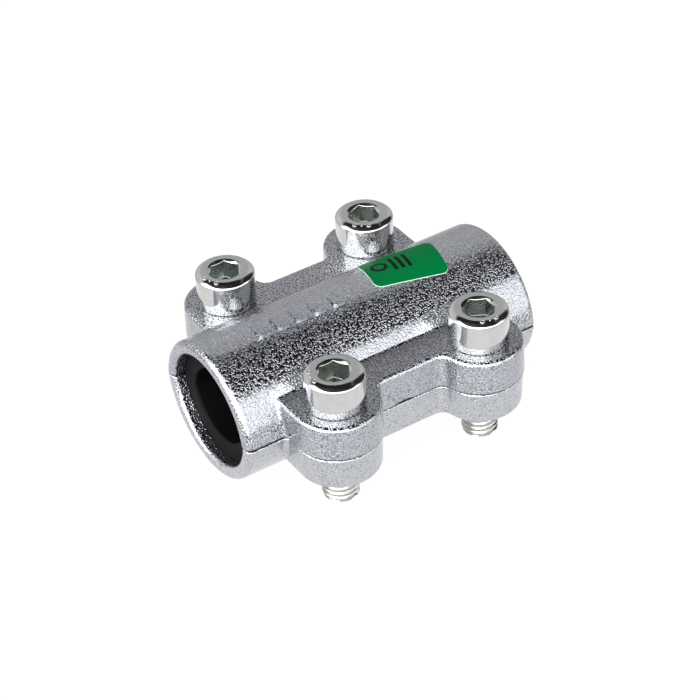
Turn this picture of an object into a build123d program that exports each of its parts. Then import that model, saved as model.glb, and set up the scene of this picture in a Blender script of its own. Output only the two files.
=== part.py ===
"""Quick coupler: two cast half shells round a rubber sleeve, clamped by four cap screws.

The pipe runs along X, the screws stand along Z, and the origin is the middle of the
pipe bore, half way up the parting gap. Sizes are in millimetres.
"""
from build123d import *

import os
from math import cos, radians, sin, sqrt

# Pipe and sealing sleeve
pipe_bore_radius = 10.0        # bore of the sleeve, for a 20 mm pipe
sleeve_wall = 2.9              # rubber above and below the bore
sleeve_recess = 3.0            # from the mouth of the upper casting to the sleeve's face
sleeve_clearance = 0.1         # all round, between the sleeve and its seat
sleeve_edge_round = 0.5        # soft corners at the ends of the sleeve's bore

# Half shells, each an arc about an axis that lies beyond the parting plane
body_length = 73.8             # upper casting along the pipe
lower_setback = 0.15           # how much shorter the lower casting is at each end
parting_gap = 0.3              # between the two castings
lip_wall = 3.1                 # wall of a shell at its mouth
seat_depth = 0.6               # how much deeper the sleeve's seat is than the mouth
shell_axis_offset = 1.7        # from the parting plane to the axis of a shell's arc
upper_rim_round = 1.5          # outer corner of the upper casting's ends
lower_rim_round = 1.2          # outer corner of the lower casting's ends
mouth_round = 1.0              # inner corner of both castings' ends

# Flanges, with an ear round each screw and a waist between the ears
screw_spacing_x = 36.1         # along the pipe
screw_stand_off = 4.55         # from a shell's outer radius to the screws' axes
waist_stand_out = 0.45         # how far a waist's side lies outside the screws' axes
upper_ear_radius = 9.7
lower_inset = 0.3              # how far the lower flange's outline lies inside the upper's
waist_fillet = 2.2             # where a waist runs into an ear
upper_flange_height = 8.05
lower_flange_height = 7.8
casting_draft = 1.5            # degrees, on the sides of both flanges
upper_edge_round = 1.0         # top edge of the upper flange
lower_edge_round = 1.2         # bottom edge of the lower flange
flange_root_fillet = 1.0       # where a flange meets its shell
parting_edge_round = 0.3       # outer edges along the parting gap

# Notch that the casting gate left in the upper flange's front parting edge
notch_length = 6.4
notch_height = 0.75
notch_depth = 1.6
notch_x = -1.6

# Row of plain bars cast on the crown of the upper shell
bar_count = 5
bar_pitch = 4.6
bar_width = 3.0
bar_length = 4.8
bar_height = 0.7
bar_corner = 0.8
bar_row_x = -13.4
bar_row_y = -0.7

# Cap screws, M8 by 25
thread_diameter = 8.0
thread_clearance = 0.05        # radial, between a screw and its tapped hole
clearance_hole_diameter = 9.0  # in the upper ears
screw_length = 25.0            # under the head
screw_tip_chamfer = 0.9
head_diameter = 13.0
head_height = 8.0
head_round = 1.3               # top edge of the head
head_foot_round = 0.3          # bottom edge of the head
socket_across_flats = 6.0
socket_depth = 4.5
socket_countersink = 0.48      # depth of the cone at the socket's mouth
socket_countersink_rim = 0.3   # how far the cone reaches past the socket's corners
socket_countersink_slope = 57  # degrees, between the cone and the screw's axis
socket_turns = {               # degrees, how far each screw's socket is turned
    "screw_front_left": 0.0,
    "screw_front_right": 29.0,
    "screw_back_left": 2.0,
    "screw_back_right": 17.0,
}

# Size label, a thin sheet wrapped on the crown of the upper shell
label_length = 17.2
label_width = 12.2
label_corner = 1.8
label_thickness = 0.15
label_x = 14.7
label_y = 1.6
label_turn = -12.0             # degrees about Z

# Worked out from the sizes above
parting_z = parting_gap / 2
sleeve_radius = pipe_bore_radius + sleeve_wall + shell_axis_offset
seat_radius = sleeve_radius + sleeve_clearance
mouth_radius = seat_radius - seat_depth
shell_outer_radius = mouth_radius + lip_wall
sleeve_length = body_length - 2 * sleeve_recess
seat_length = sleeve_length + 2 * sleeve_clearance
lower_length = body_length - 2 * lower_setback
screw_spacing_y = 2 * (shell_outer_radius + screw_stand_off)
waist_half_width = screw_spacing_y / 2 + waist_stand_out
lower_ear_radius = upper_ear_radius - lower_inset
width = screw_spacing_y + 2 * upper_ear_radius
screw_seat_z = parting_z + upper_flange_height


def arc_face(radius, side, parting):
    """The face between a shell's arc and the parting plane: side is 1 above, -1 below."""
    with BuildSketch() as face:
        with Locations((0, -side * shell_axis_offset)):
            Circle(radius)
        with Locations((0, side * (parting + width / 2))):
            Rectangle(width, width, mode=Mode.INTERSECT)
    return face.sketch


def flange_outline(ear_radius, waist):
    """A flange seen from above: straight ends, four ears and a waist on each side."""
    with BuildSketch() as outline:
        Rectangle(screw_spacing_x + 2 * ear_radius, screw_spacing_y)
        Rectangle(screw_spacing_x, 2 * waist)
        with GridLocations(screw_spacing_x, screw_spacing_y, 2, 2):
            Circle(ear_radius)
        inner = outline.vertices().filter_by(lambda v: abs(v.X) < screw_spacing_x / 2)
        fillet(inner, waist_fillet)
    return outline.sketch


def core(side):
    """The hollow of one casting: the mouth right through and the sleeve's deeper seat."""
    with BuildPart() as hollow:
        with BuildSketch(Plane.YZ.offset(-body_length / 2)):
            add(arc_face(mouth_radius, side, 0))
        extrude(amount=body_length)
        with BuildSketch(Plane.YZ.offset(-seat_length / 2)):
            add(arc_face(seat_radius, side, 0))
        extrude(amount=seat_length)
    return hollow.part


def crown_band(outline, inner_radius, outer_radius):
    """What an outline seen from above covers of a layer on the upper shell's crown."""
    with BuildPart() as band:
        with BuildSketch(Plane.XY):
            add(outline)
        extrude(amount=width)
        with BuildSketch(Plane.YZ.offset(-body_length / 2)):
            with Locations((0, -shell_axis_offset)):
                Circle(outer_radius)
                Circle(inner_radius, mode=Mode.SUBTRACT)
        extrude(amount=body_length, mode=Mode.INTERSECT)
    return band.part


def end_arcs(part, half_length, radius):
    """The round edges of a radius at both ends of a casting."""
    ends = part.edges().filter_by(GeomType.CIRCLE)
    ends = ends.filter_by(lambda e: abs(abs(e.center().X) - half_length) < 0.01)
    return ends.filter_by(lambda e: abs(e.radius - radius) < 0.01)


def outer_parting_edges(part, height):
    """The outer edges of a casting that lie at the height of its parting face."""
    rim = part.edges().filter_by(lambda e: abs(e.bounding_box().max.Z - height) < 0.01)
    rim = rim.filter_by(lambda e: abs(e.bounding_box().min.Z - height) < 0.01)
    return rim.filter_by(lambda e: abs(e.center().Y) > seat_radius)


# Upper casting
with BuildSketch() as bars:
    with Locations((bar_row_x, bar_row_y)):
        with GridLocations(bar_pitch, 1, bar_count, 1):
            RectangleRounded(bar_width, bar_length, bar_corner)

with BuildSketch(Plane.XZ.offset(waist_half_width - notch_depth)) as notch:
    notch_radius = (notch_length**2 / 4 + notch_height**2) / (2 * notch_height)
    with Locations((notch_x, parting_z + notch_height - notch_radius)):
        Circle(notch_radius)

with BuildPart() as upper_casting:
    with BuildSketch(Plane.XY.offset(parting_z)):
        add(flange_outline(upper_ear_radius, waist_half_width))
    extrude(amount=upper_flange_height, taper=casting_draft)
    fillet(upper_casting.faces().sort_by(Axis.Z)[-1].edges(), upper_edge_round)
    with BuildSketch(Plane.YZ.offset(-body_length / 2)):
        add(arc_face(shell_outer_radius, 1, parting_z))
    extrude(amount=body_length)
    roots = upper_casting.edges(Select.NEW)
    fillet(roots, flange_root_fillet)
    fillet(end_arcs(upper_casting, body_length / 2, shell_outer_radius), upper_rim_round)
    add(core(1), mode=Mode.SUBTRACT)
    fillet(end_arcs(upper_casting, body_length / 2, mouth_radius), mouth_round)
    fillet(outer_parting_edges(upper_casting, parting_z), parting_edge_round)
    add(crown_band(bars.sketch, shell_outer_radius - bar_height,
                   shell_outer_radius + bar_height))
    extrude(notch.sketch, amount=2 * notch_depth, mode=Mode.SUBTRACT)
    with Locations(Plane.XY.offset(screw_seat_z)):
        with GridLocations(screw_spacing_x, screw_spacing_y, 2, 2):
            Hole(clearance_hole_diameter / 2, depth=upper_flange_height)

# Lower casting
with BuildPart() as lower_casting:
    with BuildSketch(Plane.XY.offset(-parting_z)):
        add(flange_outline(lower_ear_radius, waist_half_width - lower_inset))
    extrude(amount=-lower_flange_height, taper=casting_draft)
    fillet(lower_casting.faces().sort_by(Axis.Z)[0].edges(), lower_edge_round)
    with BuildSketch(Plane.YZ.offset(-lower_length / 2)):
        add(arc_face(shell_outer_radius, -1, parting_z))
    extrude(amount=lower_length)
    roots = lower_casting.edges(Select.NEW)
    fillet(roots, flange_root_fillet)
    fillet(end_arcs(lower_casting, lower_length / 2, shell_outer_radius), lower_rim_round)
    add(core(-1), mode=Mode.SUBTRACT)
    fillet(end_arcs(lower_casting, lower_length / 2, mouth_radius), mouth_round)
    fillet(outer_parting_edges(lower_casting, -parting_z), parting_edge_round)
    with Locations(Plane.XY.offset(-parting_z)):
        with GridLocations(screw_spacing_x, screw_spacing_y, 2, 2):
            Hole(thread_diameter / 2 + thread_clearance, depth=lower_flange_height)

# Sealing sleeve
with BuildPart() as seal_sleeve:
    with BuildSketch(Plane.YZ.offset(-sleeve_length / 2)):
        add(arc_face(sleeve_radius, 1, 0))
        add(arc_face(sleeve_radius, -1, 0))
        Circle(pipe_bore_radius, mode=Mode.SUBTRACT)
    extrude(amount=sleeve_length)
    fillet(end_arcs(seal_sleeve, sleeve_length / 2, pipe_bore_radius), sleeve_edge_round)

# Size label
with BuildSketch(Plane.XY) as label_outline:
    with Locations(Location((label_x, label_y), label_turn)):
        RectangleRounded(label_length, label_width, label_corner)

with BuildPart() as size_label:
    add(crown_band(label_outline.sketch, shell_outer_radius,
                   shell_outer_radius + label_thickness))

# Cap screws, one in each ear
screw_x = screw_spacing_x / 2
screw_y = screw_spacing_y / 2
screw_places = {
    "screw_front_left": (-screw_x, -screw_y),
    "screw_front_right": (screw_x, -screw_y),
    "screw_back_left": (-screw_x, screw_y),
    "screw_back_right": (screw_x, screw_y),
}
screws = {}
for name, (x, y) in screw_places.items():
    turn = radians(socket_turns[name])
    seat = Plane(origin=(x, y, screw_seat_z), x_dir=(cos(turn), sin(turn), 0))
    head_top = seat.offset(head_height)
    with BuildPart() as screw:
        with BuildSketch(seat):
            Circle(head_diameter / 2)
        extrude(amount=head_height)
        fillet(screw.edges().sort_by(Axis.Z)[-1], head_round)
        fillet(screw.edges().sort_by(Axis.Z)[0], head_foot_round)
        with BuildSketch(seat):
            Circle(thread_diameter / 2)
        extrude(amount=-screw_length)
        chamfer(screw.edges().sort_by(Axis.Z)[0], screw_tip_chamfer)
        with BuildSketch(head_top):
            RegularPolygon(socket_across_flats / 2, 6, major_radius=False)
        extrude(amount=-socket_depth, mode=Mode.SUBTRACT)
        with BuildSketch(head_top):
            Circle(socket_across_flats / sqrt(3) + socket_countersink_rim)
        extrude(amount=-socket_countersink, taper=socket_countersink_slope,
                mode=Mode.SUBTRACT)
    screws[name] = screw

# Labels and files
sub_parts = {
    "upper_casting": upper_casting,
    "lower_casting": lower_casting,
    "seal_sleeve": seal_sleeve,
    "size_label": size_label,
    **screws,
}
os.makedirs("parts", exist_ok=True)
for name, sub_part in sub_parts.items():
    sub_part.part.label = name
    export_step(sub_part.part, f"parts/{name}.step")
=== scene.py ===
"""The look of a quick coupler: two zinc-plated castings, four cap screws, sleeve and label.

Sizes in the classes are millimetres in the part's own frame: the pipe runs along X, the
screws stand along Z, and the origin is the middle of the pipe bore. Meshes are in metres.
"""
import logging
from dataclasses import dataclass, field
from enum import Enum

import bmesh
import bpy
import numpy as np
from mathutils import Matrix, Vector


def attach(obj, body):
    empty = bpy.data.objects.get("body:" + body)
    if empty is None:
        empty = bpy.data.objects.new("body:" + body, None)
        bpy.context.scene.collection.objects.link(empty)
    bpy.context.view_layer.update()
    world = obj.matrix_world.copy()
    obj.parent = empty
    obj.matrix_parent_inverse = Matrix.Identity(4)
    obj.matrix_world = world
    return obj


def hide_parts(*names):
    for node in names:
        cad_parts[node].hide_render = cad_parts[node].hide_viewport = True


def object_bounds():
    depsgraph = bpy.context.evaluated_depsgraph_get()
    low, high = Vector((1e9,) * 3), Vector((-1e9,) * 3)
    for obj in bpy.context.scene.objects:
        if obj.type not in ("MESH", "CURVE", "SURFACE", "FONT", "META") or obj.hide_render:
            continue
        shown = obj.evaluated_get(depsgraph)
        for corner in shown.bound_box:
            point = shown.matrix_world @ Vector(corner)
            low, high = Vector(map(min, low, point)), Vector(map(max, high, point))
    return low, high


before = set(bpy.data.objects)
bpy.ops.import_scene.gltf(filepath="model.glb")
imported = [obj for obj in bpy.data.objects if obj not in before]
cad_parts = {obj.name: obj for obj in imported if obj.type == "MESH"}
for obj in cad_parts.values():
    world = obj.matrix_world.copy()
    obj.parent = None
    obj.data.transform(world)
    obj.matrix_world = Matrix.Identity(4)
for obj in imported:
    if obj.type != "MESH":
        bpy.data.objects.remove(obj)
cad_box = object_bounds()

MM = 0.001
FULL_TURN = 2 * np.pi
WHITE = "#FFFFFF"
log = logging.getLogger("quick_coupler")


def linear(hex_colour: str) -> tuple[float, float, float, float]:
    """Turns an sRGB hex colour into linear RGBA.

    Args:
        hex_colour: the colour as #RRGGBB.

    Returns:
        The linear colour, with alpha 1.
    """
    srgb = np.array([int(hex_colour[i:i + 2], 16) for i in (1, 3, 5)]) / 255
    rgb = np.where(srgb <= 0.04045, srgb / 12.92, ((srgb + 0.055) / 1.055) ** 2.4)
    return (*rgb.tolist(), 1.0)


def add_node(tree: bpy.types.NodeTree, kind: str, inputs: dict | None = None,
             **settings) -> bpy.types.Node:
    """Adds one shader node with its settings, constants and links.

    Args:
        tree: the node tree to add to.
        kind: the node's type name.
        inputs: for an input's name or index, a constant or the output socket to link.
        **settings: the node's own options.

    Returns:
        The new node.
    """
    node = tree.nodes.new(kind)
    for option, value in settings.items():
        setattr(node, option, value)
    for socket, value in (inputs or {}).items():
        if isinstance(value, bpy.types.NodeSocket):
            tree.links.new(value, node.inputs[socket])
        else:
            node.inputs[socket].default_value = value
    return node


def new_material(name: str) -> tuple[bpy.types.Material, bpy.types.NodeTree, bpy.types.Node]:
    """Makes an empty material.

    Args:
        name: the material's name.

    Returns:
        The material, its node tree and its Principled shader, linked to the output.
    """
    material = bpy.data.materials.new(name)
    material.use_nodes = True
    tree = material.node_tree
    tree.nodes.clear()
    shader = add_node(tree, "ShaderNodeBsdfPrincipled")
    add_node(tree, "ShaderNodeOutputMaterial", {"Surface": shader.outputs["BSDF"]})
    return material, tree, shader


def product_of_steps(tree: bpy.types.NodeTree, *steps: tuple) -> bpy.types.NodeSocket:
    """Multiplies ramps, so that the product is 1 only where every ramp has reached 1.

    Args:
        tree: the node tree to add to.
        *steps: for each ramp its value, where it starts, where it reaches 1, and its least.

    Returns:
        The product.
    """
    product = 1.0
    for value, start, full, least in steps:
        step = add_node(tree, "ShaderNodeMapRange", {
            "Value": value, "From Min": start, "From Max": full, "To Min": least})
        product = add_node(tree, "ShaderNodeMath", {
            0: product, 1: step.outputs["Result"]}, operation="MULTIPLY").outputs["Value"]
    return product


def per_metre(size_mm: float) -> float:
    """A texture scale that gives features of a size in millimetres on metre coordinates."""
    return 1 / (size_mm * MM)


@dataclass(frozen=True)
class PlatedCastingFinish:
    """Bright zinc electroplate on sand-cast iron.

    The plate is thin and copies the sand's grain: small flat patches with steep edges, so
    that reflections break up into pinpoint sparkles, with darker specks where the plating
    current missed the pits. The front flange's top is painted darker, as painted shade
    that is strongest beside the barrel. The flange tops were cast coarser and dirt lies in
    their pits; a dark line along the parting edge is painted shade in the seam.
    """

    name: str = "zinc_electroplated_sand_cast_iron"
    plate: str = "#BEC0C6"
    plate_dull: str = "#B0B2B9"
    pit: str = "#7E7F87"
    # painted shade: the colour of the front flange's top, darkest beside the barrel
    shaded: str = "#A0A2A9"
    # dirt in the flange tops' pits, and painted shade along the parting seam
    dirt_and_seam_shade: str = "#222327"
    flange_top: float = 8.2
    seam: float | None = 0.15
    roughness: float = 0.12
    grain_size: float = 0.43
    grain_height: float = 0.06
    swell_size: float = 1.5
    swell_height: float = 0.05
    patch_window: tuple[float, float] = (0.48, 0.66)
    pit_window: tuple[float, float] = (0.33, 0.44)
    pit_share: float = 0.9
    ledge_above: tuple[float, float] = (0.8, 0.2)
    ledge_below: tuple[float, float] = (0.5, 0.1)
    ledge_upright: tuple[float, float] = (0.6, 0.9)
    shade_front: tuple[float, float, float] = (-18.5, -14.5, 0.3)
    shade_back: tuple[float, float] = (6.0, -6.0)
    dirt_window: tuple[float, float] = (0.48, 0.42)
    dirt_full: float = 1.3
    seam_fade: tuple[float, float] = (0.5, 0.1)

    def material(self) -> bpy.types.Material:
        """Builds the material: grain and swell as bump; dull patches, pits, dirt and painted
        shade as colour.
        """
        material, tree, shader = new_material(self.name)
        place = add_node(tree, "ShaderNodeTexCoord").outputs["Object"]
        grain = add_node(tree, "ShaderNodeTexNoise", {
            "Vector": place, "Scale": per_metre(self.grain_size), "Detail": 1.5,
            "Roughness": 0.5})
        patchy = add_node(tree, "ShaderNodeMapRange", {
            "Value": grain.outputs["Fac"], "From Min": self.patch_window[0],
            "From Max": self.patch_window[1]}, interpolation_type="SMOOTHSTEP")
        swell = add_node(tree, "ShaderNodeTexNoise", {
            "Vector": place, "Scale": per_metre(self.swell_size), "Detail": 3.0,
            "Roughness": 0.5})
        patches = add_node(tree, "ShaderNodeMix", {
            "Factor": swell.outputs["Fac"], "A": linear(self.plate),
            "B": linear(self.plate_dull)}, data_type="RGBA")
        pits = add_node(tree, "ShaderNodeMapRange", {
            "Value": grain.outputs["Fac"], "From Min": self.pit_window[0],
            "From Max": self.pit_window[1], "To Min": self.pit_share, "To Max": 0.0})
        colour = add_node(tree, "ShaderNodeMix", {
            "Factor": pits.outputs["Result"], "A": patches.outputs["Result"],
            "B": linear(self.pit)}, data_type="RGBA")
        across, up = add_node(tree, "ShaderNodeSeparateXYZ", {"Vector": place}).outputs[1:]
        upright = add_node(tree, "ShaderNodeSeparateXYZ", {
            "Vector": add_node(tree, "ShaderNodeTexCoord").outputs["Normal"]}).outputs["Z"]
        above = [(self.flange_top + reach) * MM for reach in self.ledge_above]
        below = [(self.flange_top - reach) * MM for reach in self.ledge_below]
        ledge = product_of_steps(
            tree, (up, *above, 0.0), (up, *below, 0.0), (upright, *self.ledge_upright, 0.0))
        # painted shade on the front flange's top: full beside the barrel, weaker towards the
        # front edge, none behind
        outer, inner, least = self.shade_front
        behind, before = self.shade_back
        shade = product_of_steps(
            tree, (ledge, 0.0, 1.0, 0.0), (across, outer * MM, inner * MM, least),
            (across, behind * MM, before * MM, 0.0))
        coarse = product_of_steps(
            tree, (ledge, 0.0, self.dirt_full, 0.0),
            (grain.outputs["Fac"], *self.dirt_window, 0.0))
        tones = [(shade, self.shaded), (coarse, self.dirt_and_seam_shade)]
        # painted shade: a dark line along the upper casting's parting edge
        if self.seam is not None:
            fade = [(self.seam + reach) * MM for reach in self.seam_fade]
            tones.append((product_of_steps(tree, (up, *fade, 0.0)), self.dirt_and_seam_shade))
        for share, tone in tones:
            colour = add_node(tree, "ShaderNodeMix", {
                "Factor": share, "A": colour.outputs["Result"],
                "B": linear(tone)}, data_type="RGBA")
        swell_bump = add_node(tree, "ShaderNodeBump", {
            "Height": swell.outputs["Fac"], "Strength": 1.0,
            "Distance": self.swell_height * MM})
        grain_bump = add_node(tree, "ShaderNodeBump", {
            "Height": patchy.outputs["Result"], "Strength": 1.0,
            "Distance": self.grain_height * MM, "Normal": swell_bump.outputs["Normal"]})
        tree.links.new(colour.outputs["Result"], shader.inputs["Base Color"])
        tree.links.new(grain_bump.outputs["Normal"], shader.inputs["Normal"])
        shader.inputs["Metallic"].default_value = 1.0
        shader.inputs["Roughness"].default_value = self.roughness
        return material


@dataclass(frozen=True)
class PlatedScrewFinish:
    """Bright zinc electroplate on cold-forged and rolled steel.

    The forging is smooth, so the plate mirrors the room, softly blurred, with faint
    cloudy stains from the plating bath. The head's top face is painted darker: painted shade.
    """

    name: str = "zinc_electroplated_forged_steel"
    plate: str = "#DADBDB"
    stain: str = "#C8C8C6"
    # painted shade: the darker colour of the head's top face
    top: str = "#ABACAC"
    top_place: float = 16.2
    top_fade: tuple[float, float] = (0.25, 0.03)
    top_share: float = 0.85
    roughness_low: float = 0.06
    roughness_high: float = 0.14
    cloud_size: float = 2.2
    ripple_size: float = 1.2
    ripple_height: float = 0.006

    def material(self) -> bpy.types.Material:
        """Builds the material: clouds vary colour and gloss, fine ripples bend reflections."""
        material, tree, shader = new_material(self.name)
        place = add_node(tree, "ShaderNodeTexCoord").outputs["Object"]
        cloud = add_node(tree, "ShaderNodeTexNoise", {
            "Vector": place, "Scale": per_metre(self.cloud_size), "Detail": 4.0})
        ripple = add_node(tree, "ShaderNodeTexNoise", {
            "Vector": place, "Scale": per_metre(self.ripple_size), "Detail": 2.0})
        colour = add_node(tree, "ShaderNodeMix", {
            "Factor": cloud.outputs["Fac"], "A": linear(self.plate),
            "B": linear(self.stain)}, data_type="RGBA")
        up = add_node(tree, "ShaderNodeSeparateXYZ", {"Vector": place}).outputs["Z"]
        # painted shade: the head's top face takes the darker colour
        painted_top_shade = add_node(tree, "ShaderNodeMapRange", {
            "Value": up, "From Min": (self.top_place - self.top_fade[0]) * MM,
            "From Max": (self.top_place - self.top_fade[1]) * MM, "To Max": self.top_share})
        colour = add_node(tree, "ShaderNodeMix", {
            "Factor": painted_top_shade.outputs["Result"], "A": colour.outputs["Result"],
            "B": linear(self.top)}, data_type="RGBA")
        gloss = add_node(tree, "ShaderNodeMapRange", {
            "Value": cloud.outputs["Fac"], "From Min": 0.35, "From Max": 0.65,
            "To Min": self.roughness_low, "To Max": self.roughness_high})
        bump = add_node(tree, "ShaderNodeBump", {
            "Height": ripple.outputs["Fac"], "Strength": 1.0,
            "Distance": self.ripple_height * MM})
        tree.links.new(colour.outputs["Result"], shader.inputs["Base Color"])
        tree.links.new(gloss.outputs["Result"], shader.inputs["Roughness"])
        tree.links.new(bump.outputs["Normal"], shader.inputs["Normal"])
        shader.inputs["Metallic"].default_value = 1.0
        return material


@dataclass(frozen=True)
class RubberFinish:
    """Black EPDM rubber, compression moulded.

    The end faces look charcoal, while the bore is painted near black: painted shade
    inside the sleeve.
    """

    name: str = "moulded_epdm_rubber"
    face: str = "#0A0A0B"
    # painted shade: the bore's near-black colour
    bore: str = "#040404"
    face_place: float = 33.9
    painted_shade_fade: float = 0.6
    roughness: float = 0.62
    shine: float = 0.07
    grain_size: float = 0.35
    grain_height: float = 0.02

    def material(self) -> bpy.types.Material:
        """Builds the material: the bore's painted shade fades out at the end face's plane,
        grain as bump.
        """
        material, tree, shader = new_material(self.name)
        place = add_node(tree, "ShaderNodeTexCoord").outputs["Object"]
        along = add_node(tree, "ShaderNodeSeparateXYZ", {"Vector": place}).outputs["X"]
        from_middle = add_node(tree, "ShaderNodeMath", {0: along}, operation="ABSOLUTE")
        # painted shade in the bore, fading into the face's colour at the end face
        face_over_painted_shade = add_node(tree, "ShaderNodeMapRange", {
            "Value": from_middle.outputs["Value"],
            "From Min": (self.face_place - self.painted_shade_fade) * MM,
            "From Max": self.face_place * MM})
        grain = add_node(tree, "ShaderNodeTexNoise", {
            "Vector": place, "Scale": per_metre(self.grain_size), "Detail": 3.0})
        colour = add_node(tree, "ShaderNodeMix", {
            "Factor": face_over_painted_shade.outputs["Result"], "A": linear(self.bore),
            "B": linear(self.face)}, data_type="RGBA")
        bump = add_node(tree, "ShaderNodeBump", {
            "Height": grain.outputs["Fac"], "Strength": 1.0,
            "Distance": self.grain_height * MM})
        tree.links.new(colour.outputs["Result"], shader.inputs["Base Color"])
        tree.links.new(bump.outputs["Normal"], shader.inputs["Normal"])
        shader.inputs["Roughness"].default_value = self.roughness
        shader.inputs["Specular IOR Level"].default_value = self.shine
        return material


@dataclass(frozen=True)
class FilmFinish:
    """Polyester label film, printed and clear laminated.

    A deep printed colour lies under a thin clear layer, whose faint shine shows the room
    as a pale veil and dips a little where the rough casting prints through.
    """

    name: str
    colour: str
    roughness: float = 0.3
    shine: float = 0.02
    dimple_size: float = 0.9
    dimple_height: float = 0.012

    def material(self) -> bpy.types.Material:
        """Builds the material: print mottle as colour, the casting's print-through as bump."""
        material, tree, shader = new_material(self.name)
        place = add_node(tree, "ShaderNodeTexCoord").outputs["Object"]
        dimple = add_node(tree, "ShaderNodeTexNoise", {
            "Vector": place, "Scale": per_metre(self.dimple_size), "Detail": 2.0})
        mottle = add_node(tree, "ShaderNodeMapRange", {
            "Value": dimple.outputs["Fac"], "To Min": 0.9, "To Max": 1.1})
        colour = add_node(tree, "ShaderNodeHueSaturation", {
            "Value": mottle.outputs["Result"], "Color": linear(self.colour)})
        bump = add_node(tree, "ShaderNodeBump", {
            "Height": dimple.outputs["Fac"], "Strength": 1.0,
            "Distance": self.dimple_height * MM})
        tree.links.new(colour.outputs["Color"], shader.inputs["Base Color"])
        tree.links.new(bump.outputs["Normal"], shader.inputs["Normal"])
        shader.inputs["Roughness"].default_value = self.roughness
        shader.inputs["Specular IOR Level"].default_value = self.shine
        return material


@dataclass
class Patchwork:
    """Grids of points that are sewn into one closed mesh."""

    points: list[np.ndarray] = field(default_factory=list)
    quads: list[np.ndarray] = field(default_factory=list)
    finishes: list[np.ndarray] = field(default_factory=list)
    count: int = 0

    def add(self, grid: np.ndarray, finish: int = 0) -> None:
        """Adds a grid, whose neighbouring points span quads.

        Args:
            grid: the points in millimetres, rows by columns by 3.
            finish: the number of the material on these quads.
        """
        rows, columns = grid.shape[:2]
        index = self.count + np.arange(rows * columns).reshape(rows, columns)
        corners = [index[:-1, :-1], index[:-1, 1:], index[1:, 1:], index[1:, :-1]]
        quads = np.stack(corners, axis=-1).reshape(-1, 4)
        self.points.append(grid.reshape(-1, 3) * MM)
        self.quads.append(quads)
        self.finishes.append(np.full(len(quads), finish, dtype=np.int32))
        self.count += rows * columns

    def make(self, name: str, materials: list[bpy.types.Material],
             sharp_degrees: float) -> bpy.types.Object:
        """Makes the object, sewn at its seams and poles, with its faces outward.

        Args:
            name: the object's name.
            materials: its materials, in the order of the finish numbers.
            sharp_degrees: an edge that bends more than this stays sharp.

        Returns:
            The new object, linked to the scene.
        """
        mesh = bpy.data.meshes.new(name)
        points = np.concatenate(self.points)
        quads = np.concatenate(self.quads)
        mesh.from_pydata(points, [], quads)
        mesh.polygons.foreach_set("material_index", np.concatenate(self.finishes))
        sewn = bmesh.new()
        sewn.from_mesh(mesh)
        bmesh.ops.remove_doubles(sewn, verts=sewn.verts, dist=0.0005 * MM)
        bmesh.ops.recalc_face_normals(sewn, faces=sewn.faces)
        sewn.to_mesh(mesh)
        sewn.free()
        mesh.polygons.foreach_set("use_smooth", np.ones(len(mesh.polygons), dtype=bool))
        mesh.set_sharp_from_angle(angle=np.radians(sharp_degrees))
        for material in materials:
            mesh.materials.append(material)
        made = bpy.data.objects.new(name, mesh)
        bpy.context.scene.collection.objects.link(made)
        return made


def dress(node: str, material: bpy.types.Material) -> None:
    """Gives a CAD node its material."""
    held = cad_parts[node].data.materials
    held.clear()
    held.append(material)
    log.info("%s: CAD solid in %s", node, material.name)


class Corner(Enum):
    """The four screws, by node, with the turn of each socket and of its head marks."""

    FRONT_LEFT = ("screw_front_left", -1, -1, 0.0, 168.0)
    FRONT_RIGHT = ("screw_front_right", 1, -1, 29.0, -99.5)
    BACK_LEFT = ("screw_back_left", -1, 1, 2.0, 201.0)
    BACK_RIGHT = ("screw_back_right", 1, 1, 17.0, -129.0)

    def __init__(self, node: str, side_x: int, side_y: int, socket_turn: float,
                 mark_turn: float) -> None:
        """Keeps the node, the sides of X and Y, and the turns of socket and marks."""
        self.node = node
        self.side_x = side_x
        self.side_y = side_y
        self.socket_turn = socket_turn
        self.mark_turn = mark_turn


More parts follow.
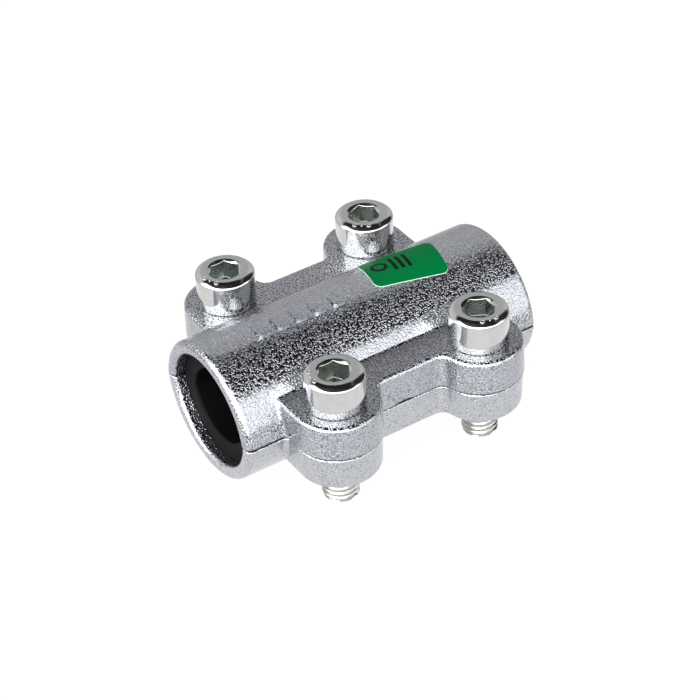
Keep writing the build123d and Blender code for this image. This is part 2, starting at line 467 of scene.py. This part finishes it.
@dataclass
class CapScrew:
    """One M8 by 25 socket head cap screw with its rolled thread."""

    corner: Corner
    spacing_x: float = 36.1
    spacing_y: float = 43.5
    head_top: float = 16.2
    head_radius: float = 6.5
    head_height: float = 8.0
    rim_lengths: tuple[float, ...] = (0.0, 0.25, 1.75, 2.3)
    rim_slopes: tuple[float, ...] = (0.0, 12.0, 42.0, 90.0)
    foot_round: float = 0.3
    socket_half_flats: float = 3.0
    socket_depth: float = 4.5
    socket_cone: float = 0.45
    sink_rim: float = 3.84
    sink_degrees: float = 64.0
    edge_break: float = 0.06
    thread_radius: float = 4.0
    root_radius: float = 3.25
    pitch: float = 1.25
    length: float = 25.0
    tip_chamfer: float = 0.9
    neck: float = 0.4
    columns: int = 72
    rows_per_turn: int = 10
    root_share: float = 0.12
    flank_share: float = 0.74
    flank_bow: float = 0.05
    runout_turns: float = 1.5
    socket_rings: int = 11
    socket_shade_rings: int = 7
    mark_ring: float = 0.42
    mark_wire: float = 0.13
    mark_stand: float = 5.15
    mark_step: float = 18.0

    @property
    def axis(self) -> np.ndarray:
        """The screw's axis at the height of the origin."""
        return np.array([self.corner.side_x * self.spacing_x / 2,
                         self.corner.side_y * self.spacing_y / 2, 0.0])

    def socket_rows(self, angle: np.ndarray) -> list[tuple[np.ndarray, np.ndarray]]:
        """Radius and height of the socket, from its middle out to the countersink's rim.

        In any direction the hexagon's wall stands at half its flats divided by the cosine
        of the angle from the middle of that flat. The countersink's cone meets it at a
        depth of the way in from the rim divided by the tangent of the cone's half angle.

        Args:
            angle: direction of each column in radians.

        Returns:
            Rows of radius and height, one value to a column.
        """
        flat = np.pi / 3
        from_corner = np.mod(angle - np.radians(self.corner.socket_turn), flat)
        wall = self.socket_half_flats / np.cos(from_corner - flat / 2)
        meet = (wall - self.sink_rim) / np.tan(np.radians(self.sink_degrees))
        deep = np.full_like(angle, -self.socket_depth)
        broken = self.edge_break
        return [
            (np.zeros_like(angle), deep - self.socket_cone),
            (wall * 0.5, deep - self.socket_cone / 2),
            (wall - 0.15, deep),
            (wall, deep + 0.15),
            (wall, meet - 2 * broken),
            (wall, meet - broken),
            (wall + 0.3 * broken, meet - 0.3 * broken),
            (wall + broken, meet + broken),
            (wall * 0 + self.sink_rim - broken, wall * 0 - broken),
            (wall * 0 + self.sink_rim - 0.2 * broken, wall * 0 - 0.3 * broken),
            (wall * 0 + self.sink_rim + broken, wall * 0),
        ]

    def head_rows(self) -> tuple[np.ndarray, np.ndarray]:
        """Radius and height of the head: flat top, rounded rim, side and underside.

        Along the rim's profile the slope grows in three straight steps, first slowly like
        a chamfer and then fast into the side. The running sums of the slope's cosine and
        sine give how far the rim reaches and how far it drops.
        """
        along = np.linspace(0, self.rim_lengths[-1], 52)
        slope = np.radians(np.interp(along, self.rim_lengths, self.rim_slopes))
        middle = (slope[1:] + slope[:-1]) / 2
        reach = np.append(0, np.cumsum(np.cos(middle))) * along[1]
        drop = np.append(0, np.cumsum(np.sin(middle))) * along[1]
        inner = self.head_radius - reach[-1]
        foot = self.head_radius - self.foot_round
        bend = np.linspace(0, np.pi / 2, 6)
        radius = np.concatenate([
            np.linspace(self.sink_rim + 0.2, inner, 5)[:-1],
            inner + reach,
            np.full(5, self.head_radius),
            foot + self.foot_round * np.cos(bend),
            [self.thread_radius + self.neck + 0.8],
            self.thread_radius + self.neck * (1 - np.sin(bend))])
        height = np.concatenate([
            np.zeros(4),
            -drop,
            np.linspace(-drop[-1], self.foot_round - self.head_height, 7)[1:-1],
            self.foot_round - self.head_height - self.foot_round * np.sin(bend),
            [-self.head_height],
            -self.head_height - self.neck * (1 - np.cos(bend))])
        return radius, height

    def thread_rows(self, angle: np.ndarray) -> tuple[np.ndarray, np.ndarray]:
        """Radius and height of the thread and the chamfered tip.

        The height's share of a pitch, less the direction's share of a turn, runs from 0 to
        1 across one thread. The flank rises from a narrow root, slightly bowed, to a flat
        crest and falls again, and the tip's cone cuts whatever lies outside it.

        Args:
            angle: direction of each column in radians.

        Returns:
            Radius and height, rows by columns.
        """
        start = -self.head_height - self.neck
        end = -self.head_height - self.length
        steps = int((start - end) / self.pitch * self.rows_per_turn)
        height = np.linspace(start, end, steps)[:, None] + 0 * angle[None, :]
        phase = np.mod(height / self.pitch - angle[None, :] / FULL_TURN, 1.0)
        ridge = 1 - np.abs(2 * phase - 1)
        rise = np.clip((ridge - self.root_share) / self.flank_share, 0, 1)
        rise = rise - self.flank_bow * np.sin(FULL_TURN * rise)
        fade = np.clip((start - height) / (self.runout_turns * self.pitch), 0, 1)
        plain = self.thread_radius
        radius = plain - (plain - self.root_radius) * (1 - rise) * fade
        tip = self.thread_radius - self.tip_chamfer + (height - end)
        return np.minimum(radius, tip), height

    def surface(self) -> np.ndarray:
        """The whole outside as one grid, from the socket's middle to the middle of the tip."""
        angle = np.linspace(0, FULL_TURN, self.columns + 1)
        angle = angle + np.radians(self.corner.socket_turn)
        socket = self.socket_rows(angle)
        head_radius, head_height = self.head_rows()
        thread_radius, thread_height = self.thread_rows(angle)
        ones = np.ones_like(angle)
        end = -self.head_height - self.length
        radius = np.concatenate([
            np.array([row[0] for row in socket]), head_radius[:, None] * ones,
            thread_radius, [0 * ones]])
        height = np.concatenate([
            np.array([row[1] for row in socket]), head_height[:, None] * ones,
            thread_height, [end * ones]])
        x = radius * np.cos(angle)
        y = radius * np.sin(angle)
        return np.stack([x, y, height + self.head_top], axis=-1) + self.axis

    def mark(self, turn: float, ring: float) -> np.ndarray:
        """A small ring or dot raised on the head's top: a round wire on a circle.

        Args:
            turn: direction from the screw's axis in degrees.
            ring: radius of the wire's circle, 0 for a dot.

        Returns:
            The grid of its points.
        """
        around = np.linspace(0, FULL_TURN, 25)[:, None]
        section = np.linspace(0, FULL_TURN, 9)[None, :]
        wire = self.mark_wire if ring else 1.5 * self.mark_wire
        if not ring:
            section = np.linspace(0, np.pi, 9)[None, :]
        out = ring + wire * (np.cos(section) if ring else np.sin(section))
        up = wire * (np.sin(section) if ring else np.cos(section)) - 0.02
        way = np.radians(turn)
        centre = self.axis + [self.mark_stand * np.cos(way), self.mark_stand * np.sin(way),
                              self.head_top]
        return np.stack([out * np.cos(around), out * np.sin(around),
                         up + 0 * around], axis=-1) + centre

    def build(self, materials: list[bpy.types.Material]) -> bpy.types.Object:
        """Builds the screw in place of its CAD solid.

        Args:
            materials: the plated steel, the socket's steel painted darker as shade, and the
                thread's.

        Returns:
            The screw's object.
        """
        sewing = Patchwork()
        skin = self.surface()
        first_thread_row = self.socket_rings + len(self.head_rows()[0])
        # painted shade: the socket's hole takes the darker steel
        sewing.add(skin[:self.socket_shade_rings], 1)
        sewing.add(skin[self.socket_shade_rings - 1:first_thread_row])
        sewing.add(skin[first_thread_row - 1:], 2)
        for place, ring in ((-1, self.mark_ring), (0, 0.0), (1, self.mark_ring)):
            sewing.add(self.mark(self.corner.mark_turn + place * self.mark_step, ring))
        made = sewing.make(f"{self.corner.node}_threaded", materials, 50)
        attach(made, f"{self.corner.node}_body")
        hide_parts(self.corner.node)
        log.info("%s: %d faces", made.name, len(made.data.polygons))
        return made


@dataclass
class SealSleeve:
    """The rubber sleeve, pressed to an oval bore by the clamp that is closed without a pipe."""

    radius: float = 14.6
    axis_offset: float = 1.7
    bore_radius: float = 10.0
    bore_offset: float = 1.8
    half_length: float = 33.9
    edge_round: float = 0.5
    columns: int = 96

    def around(self, radius: np.ndarray, offset: np.ndarray) -> tuple[np.ndarray, np.ndarray]:
        """Points on closed curves of two arcs, whose axes lie beyond the parting plane.

        In a direction from the middle, the curve is as far away as the ray's far crossing
        with the circle about the opposite axis: less the offset's share along the ray,
        plus the root of the radius squared less the offset's share across it squared.

        Args:
            radius: radius of the arcs in each row.
            offset: distance of the arcs' axes from the parting plane in each row.

        Returns:
            Y and Z, rows by columns.
        """
        angle = np.linspace(0, FULL_TURN, self.columns + 1)[None, :]
        rise = np.abs(np.sin(angle))
        radius, offset = radius[:, None], offset[:, None]
        reach = np.sqrt(radius**2 - (offset * np.cos(angle)) ** 2) - offset * rise
        return reach * np.cos(angle), reach * np.sin(angle)

    def surface(self) -> np.ndarray:
        """The whole skin as one grid: outside, end face, rounded edge, bore and back."""
        bend = np.linspace(0, np.pi / 2, 7)
        edge, end, bore = self.edge_round, self.half_length, self.bore_radius
        radius = np.concatenate([
            [self.radius], [self.radius - 0.02], bore + edge - edge * np.sin(bend)])
        along = np.concatenate([[end - 0.02], [end], end - edge + edge * np.cos(bend)])
        offset = np.concatenate([[self.axis_offset] * 2, np.full(7, self.bore_offset)])
        radius = np.concatenate([radius, radius[::-1], radius[:1]])
        along = np.concatenate([along, -along[::-1], along[:1]])
        offset = np.concatenate([offset, offset[::-1], offset[:1]])
        y, z = self.around(radius, offset)
        return np.stack([along[:, None] + 0 * y, y, z], axis=-1)

    def build(self, rubber: bpy.types.Material) -> bpy.types.Object:
        """Builds the sleeve in place of its CAD solid.

        Args:
            rubber: the moulded rubber.

        Returns:
            The sleeve's object.
        """
        sewing = Patchwork()
        sewing.add(self.surface())
        made = sewing.make("seal_sleeve_pressed", [rubber], 30)
        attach(made, "lower_half")
        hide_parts("seal_sleeve")
        log.info("%s: %d faces", made.name, len(made.data.polygons))
        return made


@dataclass
class SizeLabel:
    """The green label, wrapped on the crown of the upper casting, with plain printed marks."""

    length: float = 17.2
    width: float = 12.2
    corner: float = 1.8
    thickness: float = 0.15
    centre: tuple[float, float] = (14.7, 1.6)
    turn: float = -12.0
    crown_radius: float = 17.2
    crown_axis: float = -1.7
    ink_lift: float = 0.015
    ring_centre: tuple[float, float] = (-5.2, 0.9)
    ring_radius: float = 1.9
    ring_line: float = 0.75
    bar_width: float = 0.8
    bar_length: float = 5.6
    bar_places: tuple[float, ...] = (-2.0, -0.4, 1.2)

    def wrap(self, x: np.ndarray, y: np.ndarray, lift: np.ndarray | float) -> np.ndarray:
        """Lays flat points on the crown.

        A point is turned and moved to the label's place as seen from above, and its height
        is the crown's arc at that distance from the pipe's axis, raised by the lift.

        Args:
            x: along the label.
            y: across the label.
            lift: height over the casting's skin.

        Returns:
            The points, with a last axis of 3.
        """
        way = np.radians(self.turn)
        along = self.centre[0] + x * np.cos(way) - y * np.sin(way)
        across = self.centre[1] + x * np.sin(way) + y * np.cos(way)
        up = self.crown_axis + np.sqrt((self.crown_radius + lift) ** 2 - across**2)
        return np.stack([along, across, up], axis=-1)

    def rim(self) -> tuple[np.ndarray, np.ndarray]:
        """The label's outline: four quarter circles joined by its straight sides."""
        quarter = np.linspace(0, np.pi / 2, 9)
        turns = np.concatenate([quarter + k * np.pi / 2 for k in range(4)])
        side_x = np.repeat([1, -1, -1, 1], 9) * (self.length / 2 - self.corner)
        side_y = np.repeat([1, 1, -1, -1], 9) * (self.width / 2 - self.corner)
        x = side_x + self.corner * np.cos(turns)
        y = side_y + self.corner * np.sin(turns)
        x, y = np.append(x, x[0]), np.append(y, y[0])
        knots = np.arange(len(x))
        fine = np.linspace(0, len(x) - 1, 4 * (len(x) - 1) + 1)
        return np.interp(fine, knots, x), np.interp(fine, knots, y)

    def sheet(self) -> np.ndarray:
        """The film's face: the outline shrunk towards the middle in even steps."""
        x, y = self.rim()
        share = np.linspace(0, 1, 15)[:, None]
        return self.wrap(share * x, share * y, self.thickness)

    def edge(self) -> np.ndarray:
        """The film's cut edge and back: outline from its face down to the casting."""
        x, y = self.rim()
        share = np.array([1.0, 1.003, 1.003, 0.0])[:, None]
        lift = np.array([1.0, 0.8, -0.2, -0.2])[:, None] * self.thickness
        return self.wrap(share * x, share * y, lift)

    def ring(self) -> np.ndarray:
        """A printed ring, upright oval, as a flat band between two curves."""
        around = np.linspace(0, FULL_TURN, 49)[None, :]
        share = np.array([1.0, 1 - self.ring_line / self.ring_radius])[:, None]
        x = self.ring_centre[0] + self.ring_radius * share * np.cos(around)
        y = self.ring_centre[1] + self.ring_radius * share * np.sin(around)
        return self.wrap(x, y, self.thickness + self.ink_lift)

    def bar(self, place: float) -> np.ndarray:
        """A printed upright bar as a rectangle that follows the crown.

        Args:
            place: its middle, along the label.

        Returns:
            The grid of its points.
        """
        x = place + np.linspace(-0.5, 0.5, 3)[:, None] * self.bar_width
        y = self.ring_centre[1] + np.linspace(-0.5, 0.5, 17)[None, :] * self.bar_length
        return self.wrap(x + 0 * y, y + 0 * x, self.thickness + self.ink_lift)

    def build(self, film: bpy.types.Material, paper: bpy.types.Material,
              ink: bpy.types.Material) -> list[bpy.types.Object]:
        """Builds the label in place of its CAD solid, and its print.

        Args:
            film: the green face.
            paper: the pale cut edge.
            ink: the dark print.

        Returns:
            The label's two objects.
        """
        sewing = Patchwork()
        sewing.add(self.sheet(), 0)
        sewing.add(self.edge(), 1)
        sheet = sewing.make("label_film", [film, paper], 40)
        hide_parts("size_label")
        printing = Patchwork()
        printing.add(self.ring())
        for place in self.bar_places:
            printing.add(self.bar(place))
        marks = printing.make("label_print", [ink], 40)
        for made in (sheet, marks):
            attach(made, "upper_half")
            log.info("%s: %d faces", made.name, len(made.data.polygons))
        return [sheet, marks]


@dataclass
class Softbox:
    """A flat lamp that faces the object."""

    name: str
    azimuth: float
    elevation: float
    width: float
    height: float
    radiance: float
    distance: float = 1.1
    mirrored: bool = True

    def build(self) -> None:
        """Places the lamp; its power is radiance times its area times pi."""
        lamp = bpy.data.lights.new(self.name, "AREA")
        lamp.shape = "RECTANGLE"
        lamp.size = self.width
        lamp.size_y = self.height
        lamp.energy = self.radiance * self.width * self.height * np.pi
        holder = bpy.data.objects.new(self.name, lamp)
        holder.visible_glossy = self.mirrored
        around, up = np.radians([self.azimuth, self.elevation])
        towards = Vector((np.cos(around) * np.cos(up), np.sin(around) * np.cos(up),
                          np.sin(up)))
        holder.location = towards * self.distance
        holder.rotation_euler = towards.to_track_quat("Z", "Y").to_euler()
        bpy.context.scene.collection.objects.link(holder)


@dataclass
class Studio:
    """Pale floor, soft light and the camera."""

    floor_height: float
    floor_half: float = 0.45
    floor_glow: float = 0.95
    pool: tuple[float, float] = (0.07, 0.15)
    pool_dimmed: float = 0.5
    far_wall: tuple[tuple[float, float], ...] = (
        (0.0, 0.58), (0.3, 0.76), (0.7, 0.76), (0.79, 0.03), (1.0, 0.02))
    near_wall: tuple[tuple[float, float], ...] = (
        (0.0, 1.6), (0.05, 2.05), (0.7, 2.05), (0.77, 0.03), (1.0, 0.02))
    window_gain: float = 1.9
    screen_grey: float = 0.03
    tilt: float = 37.822
    swing: float = 31.491
    roll: float = -2.950
    distance: float = 472.038
    aside: float = 0.586
    above: float = 0.467
    lens: float = 111.897
    sensor: float = 36.0

    def surround(self) -> None:
        """Lights the world: bright behind the camera, grey beyond the part, dark overhead.

        The grey reaches higher towards the right and the bright wall towards the left,
        where a high window glares, and a dark screen stands on the right.
        """
        world = bpy.data.worlds.new("studio_surround")
        bpy.context.scene.world = world
        world.use_nodes = True
        tree = world.node_tree
        tree.nodes.clear()
        way = add_node(tree, "ShaderNodeTexCoord").outputs["Generated"]
        right, side, height = add_node(tree, "ShaderNodeSeparateXYZ", {"Vector": way}).outputs
        right_up, left_up, nearness = (
            add_node(tree, "ShaderNodeVectorMath", {0: way, 1: lean},
                     operation="DOT_PRODUCT").outputs["Value"]
            for lean in ((-0.2, 0.0, 1.0), (0.12, 0.0, 1.0), (-0.5, -0.85, 0.0)))
        far = self.ramp(tree, right_up, *self.far_wall)
        near = self.ramp(tree, left_up, *self.near_wall)
        window = product_of_steps(tree, (right, 0.2, -0.3, 0.0), (height, 0.3, 0.5, 0.35))
        glare = add_node(tree, "ShaderNodeMath", {
            0: window, 1: self.window_gain, 2: 1.0}, operation="MULTIPLY_ADD")
        near = add_node(tree, "ShaderNodeVectorMath", {
            0: near, 3: glare.outputs["Value"]}, operation="SCALE").outputs["Vector"]
        share = add_node(tree, "ShaderNodeMapRange", {
            "Value": nearness, "From Min": -0.25, "From Max": 0.05})
        mixed = add_node(tree, "ShaderNodeMix", {
            "Factor": share.outputs["Result"], "A": far, "B": near}, data_type="RGBA")
        screen = product_of_steps(
            tree, (right, 0.44, 0.56, 0.0), (side, 0.34, 0.22, 0.0),
            (side, -0.42, -0.27, 0.0), (height, 0.15, 0.28, 0.0))
        mixed = add_node(tree, "ShaderNodeMix", {
            "Factor": screen, "A": mixed.outputs["Result"],
            "B": (*(self.screen_grey,) * 3, 1.0)}, data_type="RGBA")
        rays = add_node(tree, "ShaderNodeLightPath")
        seen = add_node(tree, "ShaderNodeMix", {
            "Factor": rays.outputs["Is Camera Ray"], "A": mixed.outputs["Result"],
            "B": linear(WHITE)}, data_type="RGBA")
        light = add_node(tree, "ShaderNodeBackground", {"Color": seen.outputs["Result"]})
        add_node(tree, "ShaderNodeOutputWorld", {"Surface": light.outputs["Background"]})

    def ramp(self, tree: bpy.types.NodeTree, height: bpy.types.NodeSocket,
             *stops: tuple[float, float]) -> bpy.types.NodeSocket:
        """A grey ramp over height.

        Args:
            tree: the world's node tree.
            height: the direction's height, from 0 at the horizon to 1 overhead.
            *stops: pairs of height and brightness, lowest first.

        Returns:
            The ramp's colour.
        """
        node = add_node(tree, "ShaderNodeValToRGB", {"Fac": height})
        elements = node.color_ramp.elements
        elements[0].position, elements[1].position = stops[0][0], stops[-1][0]
        elements[0].color = (stops[0][1],) * 3 + (1.0,)
        elements[1].color = (stops[-1][1],) * 3 + (1.0,)
        for place, grey in stops[1:-1]:
            elements.new(place).color = (grey,) * 3 + (1.0,)
        return node.outputs["Color"]

    def floor(self) -> None:
        """Lays the floor: white to the eye, it keeps a soft shadow, and fades in reflections.

        Reflections see a painted pool of light: the paper glows brighter near the part and
        dimmer further out, by the distance from the middle.
        """
        half = self.floor_half / MM
        x, y = np.meshgrid([-half, half], [-half, half])
        sewing = Patchwork()
        sewing.add(np.stack([x, y, 0 * x + self.floor_height], axis=-1))
        material = bpy.data.materials.new("studio_floor_paper")
        material.use_nodes = True
        tree = material.node_tree
        tree.nodes.clear()
        rays = add_node(tree, "ShaderNodeLightPath").outputs
        direct = add_node(tree, "ShaderNodeMath", {
            0: rays["Is Camera Ray"], 1: rays["Is Transmission Ray"]}, operation="ADD")
        share = add_node(tree, "ShaderNodeMath", {
            0: direct.outputs["Value"], 1: self.floor_glow,
            2: rays["Is Glossy Ray"]}, operation="MULTIPLY_ADD")
        place = add_node(tree, "ShaderNodeTexCoord").outputs["Object"]
        apart = add_node(tree, "ShaderNodeVectorMath", {0: place}, operation="LENGTH")
        # painted pool of light, seen only in reflections
        pool = add_node(tree, "ShaderNodeMapRange", {
            "Value": apart.outputs["Value"], "From Min": self.pool[0],
            "From Max": self.pool[1], "To Min": 1.0, "To Max": self.pool_dimmed})
        strength = add_node(tree, "ShaderNodeMix", {
            "Factor": rays["Is Glossy Ray"], "A": 1.0, "B": pool.outputs["Result"]})
        paper = add_node(tree, "ShaderNodeBsdfDiffuse", {"Color": linear(WHITE)})
        glow = add_node(tree, "ShaderNodeEmission", {
            "Color": linear(WHITE), "Strength": strength.outputs["Result"]})
        mixed = add_node(tree, "ShaderNodeMixShader", {
            0: share.outputs["Value"], 1: paper.outputs["BSDF"],
            2: glow.outputs["Emission"]})
        add_node(tree, "ShaderNodeOutputMaterial", {"Surface": mixed.outputs["Shader"]})
        sewing.make("floor", [material], 40)

    def camera(self) -> None:
        """Stands the camera where the photograph was taken from.

        The view runs down by the tilt and turns from Y by the swing, the picture turns by
        the roll, and the camera steps aside so that the part sits where it does in the
        picture.
        """
        swing, tilt, roll = np.radians([self.swing, self.tilt, self.roll])
        right = np.array([np.cos(swing), -np.sin(swing), 0.0])
        level = np.array([np.sin(swing), np.cos(swing), 0.0])
        forward = np.cos(tilt) * level - np.sin(tilt) * np.array([0, 0, 1.0])
        up = np.sin(tilt) * level + np.cos(tilt) * np.array([0, 0, 1.0])
        turned_right = np.cos(roll) * right + np.sin(roll) * up
        turned_up = -np.sin(roll) * right + np.cos(roll) * up
        place = -self.distance * forward - self.aside * turned_right - self.above * turned_up
        lens = bpy.data.cameras.new("studio_camera")
        lens.lens = self.lens
        lens.sensor_width = self.sensor
        lens.clip_start = 0.01
        lens.clip_end = 50.0
        holder = bpy.data.objects.new("studio_camera", lens)
        turn = Matrix(np.stack([turned_right, turned_up, -forward], axis=1).tolist())
        holder.matrix_world = Matrix.Translation(Vector(place * MM)) @ turn.to_4x4()
        bpy.context.scene.collection.objects.link(holder)
        bpy.context.scene.camera = holder

    def build(self) -> None:
        """Builds surround, floor, lamps and camera, and sets a plain view transform."""
        self.surround()
        self.floor()
        Softbox("softbox_front_right", -60.0, 22.0, 1.3, 0.75, 1.4, mirrored=False).build()
        Softbox("softbox_overhead", -90.0, 75.0, 1.2, 1.2, 1.1, mirrored=False).build()
        self.camera()
        bpy.context.scene.view_settings.view_transform = "Standard"


def main() -> None:
    """Builds and dresses every piece, then the studio."""
    logging.basicConfig(level=logging.INFO, format="%(message)s")
    dress("upper_casting", PlatedCastingFinish().material())
    # The lower casting's plate, dull patches and pits are lighter than the upper's: painted
    # light on the lower half; its shallower grain is its own.
    dress("lower_casting", PlatedCastingFinish(
        "zinc_electroplated_fine_sand_cast_iron_painted_lighter", plate="#C9CBD0", plate_dull="#BEC0C5",
        pit="#94959C", seam=None, grain_height=0.045).material())
    SealSleeve().build(RubberFinish().material())
    finishes = (
        PlatedScrewFinish(),
        # the socket's steel is painted darker: painted shade in the hole
        PlatedScrewFinish(
            "cold_punched_steel_painted_socket_shade", plate="#B6BBB7", stain="#979D99",
            roughness_low=0.2, roughness_high=0.35, ripple_height=0.012),
        PlatedScrewFinish(
            "rolled_thread_steel_under_oil", plate="#D2D2CF", stain="#BFBFBB",
            roughness_low=0.2, roughness_high=0.3))
    steels = [finish.material() for finish in finishes]
    for corner in Corner:
        CapScrew(corner).build(steels)
    SizeLabel().build(
        FilmFinish("printed_polyester_film", "#00572B").material(),
        FilmFinish("cut_edge_of_label_paper", "#A9CDB6", roughness=0.6).material(),
        FilmFinish("label_printing_ink", "#08120C").material())
    Studio(floor_height=cad_box[0].z / MM).build()


if __name__ == "__main__":
    main()
